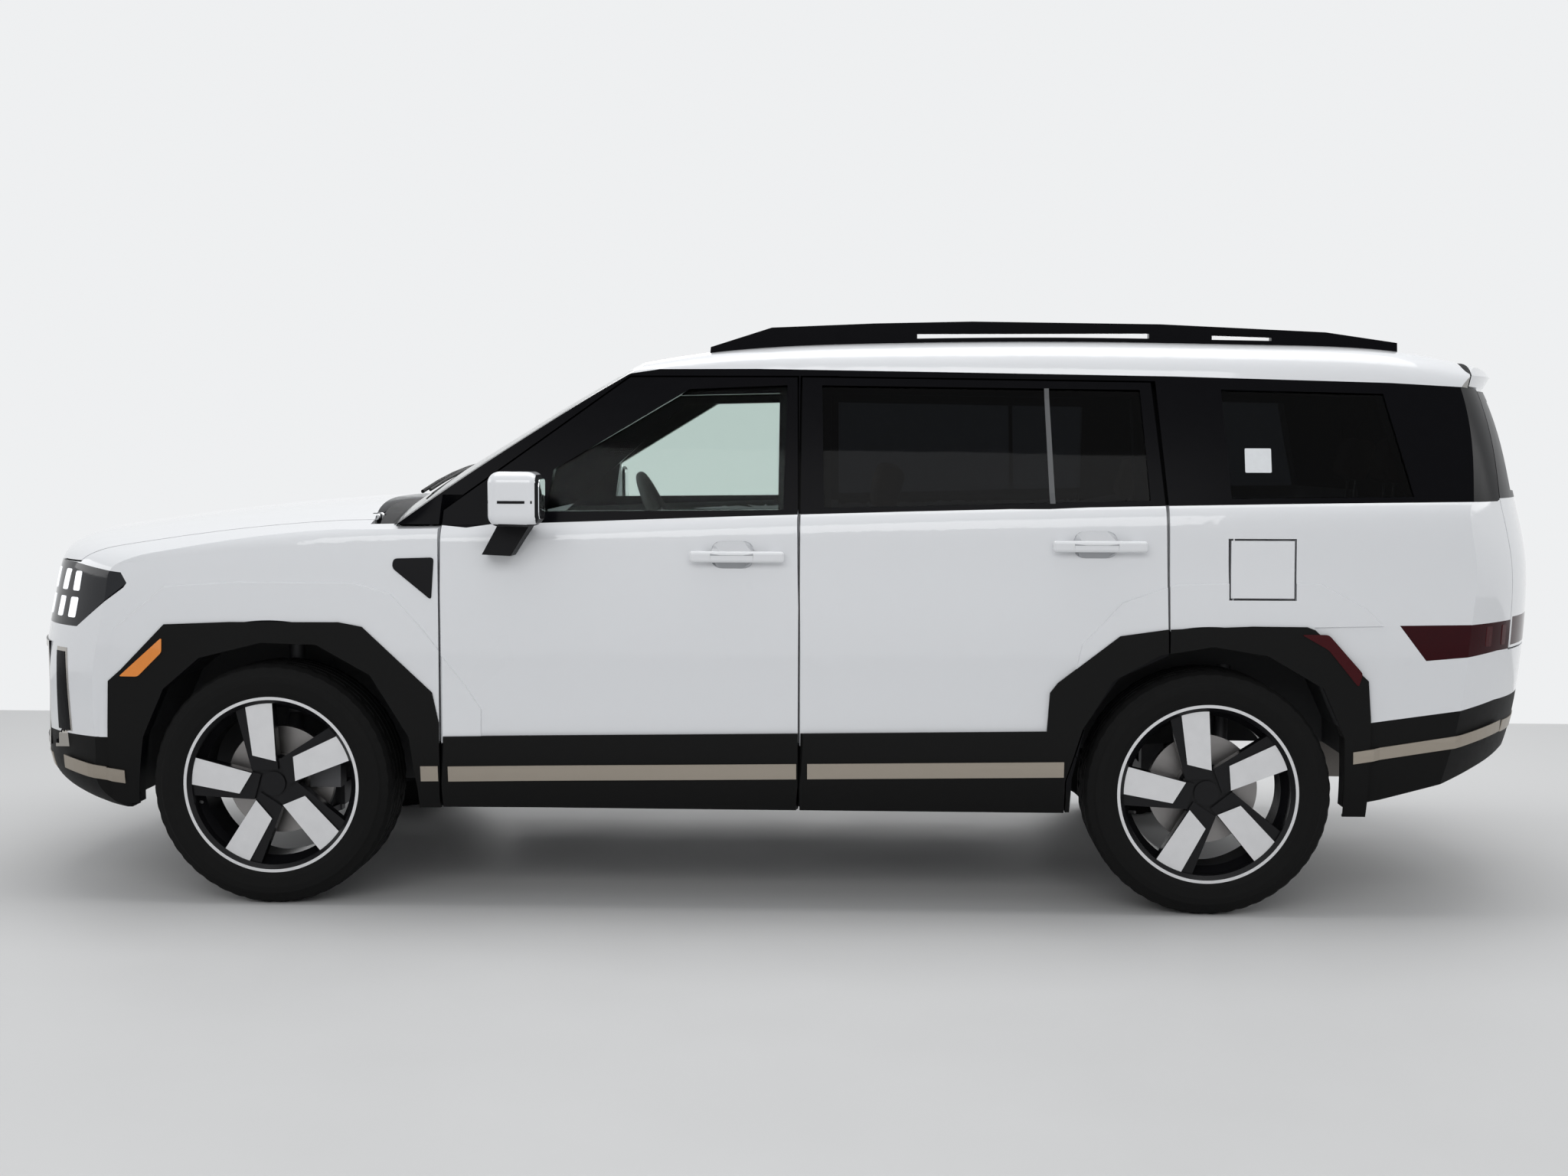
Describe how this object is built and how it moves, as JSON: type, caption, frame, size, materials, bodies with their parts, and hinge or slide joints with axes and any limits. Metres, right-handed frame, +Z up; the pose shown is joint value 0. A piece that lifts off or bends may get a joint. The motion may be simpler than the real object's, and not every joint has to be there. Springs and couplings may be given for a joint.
{
  "type": "sport utility vehicle",
  "caption": "Boxy family sport utility vehicle with hinged doors, hood, tailgate and fuel flap, seats in rows, steered front wheels and spoked alloy wheels.",
  "frame": {"origin": "on the ground under the middle of the vehicle's bounding box", "axes": "+X forward, +Y to the vehicle's left, +Z up"},
  "size_m": [4.8335, 2.244, 1.778],
  "materials": {
    "white_paint": "gloss",
    "black_trim": "satin",
    "glass_clear": "polished",
    "glass_dark": "polished",
    "lamp_lens": "gloss",
    "red_lens": "gloss",
    "grille_dark": "gloss",
    "structure_grey": "satin",
    "dark_interior": "matte",
    "seat_leather": "soft",
    "cast_metal": "rough",
    "exhaust_steel": "satin",
    "alloy": "machined",
    "tyre_rubber": "matte"
  },
  "bodies": {
    "body": {"console": "dark_interior", "cowl": "black_trim", "dashboard": "dark_interior", "engine": "cast_metal", "exhaust": "exhaust_steel", "fenders": "white_paint", "fixed_glass": "glass_clear", "floor_pan": "structure_grey", "front_bumper": "white_paint", "front_seats": "seat_leather", "front_suspension": "structure_grey", "grille": "grille_dark", "headlamps": "lamp_lens", "lower_trim": "black_trim", "radiator": "structure_grey", "rear_bumper": "white_paint", "rear_seats": "seat_leather", "rear_suspension": "structure_grey", "roof_panel": "white_paint", "roof_rails": "black_trim", "side_frame_left": "white_paint", "side_frame_right": "white_paint", "tail_lamps": "red_lens"},
    "hood": {"hood": "white_paint"},
    "tailgate": {"tailgate": "white_paint", "tailgate_glass": "glass_dark", "tailgate_lamp": "red_lens"},
    "fuel_flap": {"fuel_flap": "white_paint"},
    "steering_wheel": {"steering_wheel": "dark_interior"},
    "front_door_left": {"front_door_left": "white_paint", "front_door_glass_left": "glass_clear", "front_door_trim_left": "black_trim", "mirror_left": "white_paint"},
    "rear_door_left": {"rear_door_left": "white_paint", "rear_door_glass_left": "glass_dark", "rear_door_trim_left": "black_trim"},
    "knuckle_front_left": {"knuckle_front_left": "cast_metal"},
    "wheel_front_left": {"rim_front_left": "alloy", "tyre_front_left": "tyre_rubber"},
    "wheel_rear_left": {"rim_rear_left": "alloy", "tyre_rear_left": "tyre_rubber"},
    "front_door_right": {"front_door_right": "white_paint", "front_door_glass_right": "glass_clear", "front_door_trim_right": "black_trim", "mirror_right": "white_paint"},
    "rear_door_right": {"rear_door_right": "white_paint", "rear_door_glass_right": "glass_dark", "rear_door_trim_right": "black_trim"},
    "knuckle_front_right": {"knuckle_front_right": "cast_metal"},
    "wheel_front_right": {"rim_front_right": "alloy", "tyre_front_right": "tyre_rubber"},
    "wheel_rear_right": {"rim_rear_right": "alloy", "tyre_rear_right": "tyre_rubber"}
  },
  "joints": [
    {"name": "front_door_left_open", "type": "hinge", "parent": "body", "child": "front_door_left", "pos_m": [0.9455, 0.90877, 0.7], "axis": [0, 0, -1], "range_deg": [0, 68]},
    {"name": "rear_door_left_open", "type": "hinge", "parent": "body", "child": "rear_door_left", "pos_m": [-0.1345, 0.90536, 0.7], "axis": [0, 0, -1], "range_deg": [0, 70]},
    {"name": "front_door_right_open", "type": "hinge", "parent": "body", "child": "front_door_right", "pos_m": [0.9455, -0.90877, 0.7], "axis": [0, 0, 1], "range_deg": [0, 68]},
    {"name": "rear_door_right_open", "type": "hinge", "parent": "body", "child": "rear_door_right", "pos_m": [-0.1345, -0.90536, 0.7], "axis": [0, 0, 1], "range_deg": [0, 70]},
    {"name": "hood_open", "type": "hinge", "parent": "body", "child": "hood", "pos_m": [1.24, 0, 1.172], "axis": [0, -1, 0], "range_deg": [0, 55]},
    {"name": "tailgate_open", "type": "hinge", "parent": "body", "child": "tailgate", "pos_m": [-2.097, 0, 1.6495], "axis": [0, 1, 0], "range_deg": [0, 80]},
    {"name": "fuel_flap_open", "type": "hinge", "parent": "body", "child": "fuel_flap", "pos_m": [-1.362, 0.91037, 1.035], "axis": [0, 0, -1], "range_deg": [0, 90]},
    {"name": "steering", "type": "hinge", "parent": "body", "child": "steering_wheel", "pos_m": [0.385, 0.37, 1.14], "axis": [0.9063, 0, -0.4226], "range_deg": [-450, 450]},
    {"name": "steer_knuckle_left", "type": "hinge", "parent": "body", "child": "knuckle_front_left", "pos_m": [1.52, 0.765, 0.235], "axis": [0, -0.214, 0.9768], "range_deg": [-30.5, 30.5]},
    {"name": "wheel_front_left_spin", "type": "hinge", "parent": "knuckle_front_left", "child": "wheel_front_left", "pos_m": [1.52, 0.818, 0.366], "axis": [0, 1, 0], "continuous": true},
    {"name": "wheel_rear_left_spin", "type": "hinge", "parent": "body", "child": "wheel_rear_left", "pos_m": [-1.295, 0.818, 0.366], "axis": [0, 1, 0], "continuous": true},
    {"name": "steer_knuckle_right", "type": "hinge", "parent": "body", "child": "knuckle_front_right", "pos_m": [1.52, -0.765, 0.235], "axis": [0, 0.214, 0.9768], "range_deg": [-30.5, 30.5]},
    {"name": "wheel_front_right_spin", "type": "hinge", "parent": "knuckle_front_right", "child": "wheel_front_right", "pos_m": [1.52, -0.818, 0.366], "axis": [0, 1, 0], "continuous": true},
    {"name": "wheel_rear_right_spin", "type": "hinge", "parent": "body", "child": "wheel_rear_right", "pos_m": [-1.295, -0.818, 0.366], "axis": [0, 1, 0], "continuous": true}
  ],
  "couplings": [
    {"joint": "steer_knuckle_left", "follows": "steering", "ratio": -0.066667},
    {"joint": "steer_knuckle_right", "follows": "steering", "ratio": -0.066667}
  ]
}
